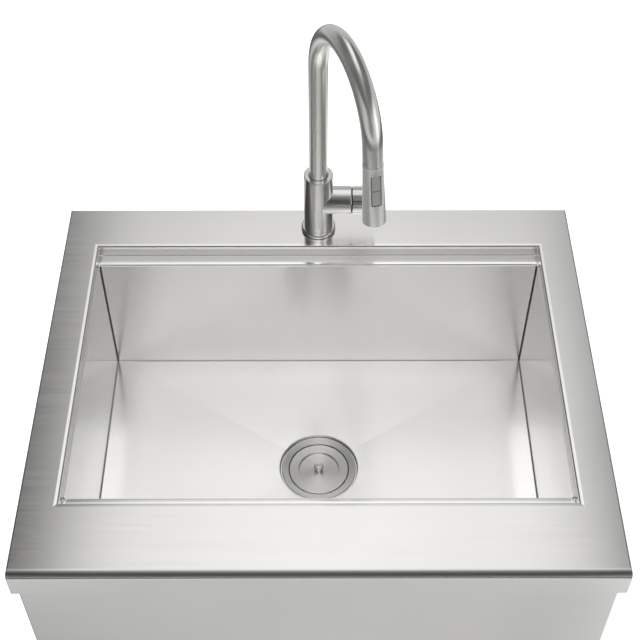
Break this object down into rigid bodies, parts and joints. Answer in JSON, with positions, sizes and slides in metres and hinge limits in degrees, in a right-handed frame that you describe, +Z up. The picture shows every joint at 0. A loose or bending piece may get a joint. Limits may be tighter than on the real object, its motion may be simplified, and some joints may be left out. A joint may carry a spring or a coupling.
{
  "type": "farmhouse kitchen sink",
  "caption": "Apron-front steel kitchen sink with a flat deck, ledged rectangular bowl, basket strainer and a single-hole pull-down tap with a side lever.",
  "frame": {"origin": "on the drain's axis, level with the top of the deck, which lies flush with the worktops beside it", "axes": "+X to the user's right, +Y to the back, +Z up"},
  "size_m": [0.711, 0.5907, 0.7977],
  "materials": {
    "sink_steel": "satin, grained",
    "plain_steel": "satin",
    "tap_nickel": "satin, brushed round",
    "strainer_steel": "turned, satin",
    "rubber_black": "matte",
    "rubber_grey": "matte",
    "pad_rubber": "matte",
    "plastic_white": "matte",
    "plastic_grey": "matte",
    "plastic_dark": "matte",
    "card": "matte",
    "turned_brass": "satin",
    "hose_braid": "woven"
  },
  "bodies": {
    "root": {"deck": "sink_steel", "bowl": "sink_steel", "back_ledge": "sink_steel", "front_ledge": "sink_steel", "apron": "sink_steel", "apron_brackets": "plain_steel", "sound_pads": "pad_rubber", "faucet_stiffener": "plain_steel", "clip_channels": "plain_steel", "clip_bolts": "plain_steel", "clip_plates": "plain_steel", "clip_nuts": "plain_steel", "strainer_body": "strainer_steel", "flange_seal": "rubber_black", "under_gasket": "rubber_black", "friction_ring": "card", "lock_nut": "plain_steel", "tailpiece_washer": "plastic_white", "coupling_nut": "plain_steel", "tailpiece": "strainer_steel", "base_gasket": "rubber_black", "base_flange": "tap_nickel", "faucet_body": "tap_nickel", "body_collar": "tap_nickel", "shank": "turned_brass", "rubber_washer": "rubber_black", "mounting_washer": "plain_steel", "mounting_nut": "turned_brass", "nut_screws": "plain_steel", "inlet_manifold": "turned_brass", "swivel_bushing": "plastic_white", "swivel_o_rings": "rubber_black", "cartridge": "plastic_grey", "ceramic_disc": "plastic_white", "cartridge_nut": "turned_brass"},
    "basket": {"basket_cap": "strainer_steel", "basket_cup": "strainer_steel", "basket_seal": "rubber_black", "basket_post": "strainer_steel"},
    "spout": {"spout_tube": "tap_nickel", "dock_bushing": "plastic_dark", "spray_hose": "hose_braid"},
    "hose_end": {"hose_connector": "turned_brass"},
    "spray_head": {"head_collar": "tap_nickel", "head_core": "plastic_white", "head_shell": "tap_nickel", "nozzle_plate": "plastic_grey", "spray_nozzles": "rubber_grey", "aerator": "plastic_grey", "button_pin": "plain_steel"},
    "spray_button": {"spray_button": "tap_nickel"},
    "handle_turn": {"cartridge_rotor": "plastic_white", "tilt_pin": "plain_steel"},
    "handle": {"cartridge_stem": "turned_brass", "handle_hub": "tap_nickel", "lever": "tap_nickel", "lever_set_screw": "plain_steel"}
  },
  "joints": [
    {"name": "basket_lift", "type": "slide", "parent": "root", "child": "basket", "axis": [0, 0, 1], "range_m": [0, 0.1]},
    {"name": "spout_swivel", "type": "hinge", "parent": "root", "child": "spout", "pos_m": [0, 0.24705, 0], "axis": [0, 0, 1], "range_deg": [-200.9, 159.1]},
    {"name": "head_pull", "type": "slide", "parent": "spout", "child": "hose_end", "axis": [0.0466, -0.1219, -0.9914], "range_m": [0, 0.35], "deforming": ["spray_hose"]},
    {"name": "head_spin", "type": "hinge", "parent": "hose_end", "child": "spray_head", "pos_m": [0.06366, 0.08035, 0.2722], "axis": [0.0466, -0.1219, -0.9914], "continuous": true},
    {"name": "button_rock", "type": "hinge", "parent": "spray_head", "child": "spray_button", "pos_m": [0.06783, 0.06596, 0.24178], "axis": [-0.9682, -0.2496, -0.0148], "range_deg": [0, 4]},
    {"name": "handle_temperature", "type": "hinge", "parent": "root", "child": "handle_turn", "pos_m": [0.03, 0.24705, 0.054], "axis": [1, 0, 0], "range_deg": [-45, 45]},
    {"name": "handle_flow", "type": "hinge", "parent": "handle_turn", "child": "handle", "pos_m": [0.03, 0.24705, 0.054], "axis": [0, 1, 0], "range_deg": [0, 25]}
  ]
}
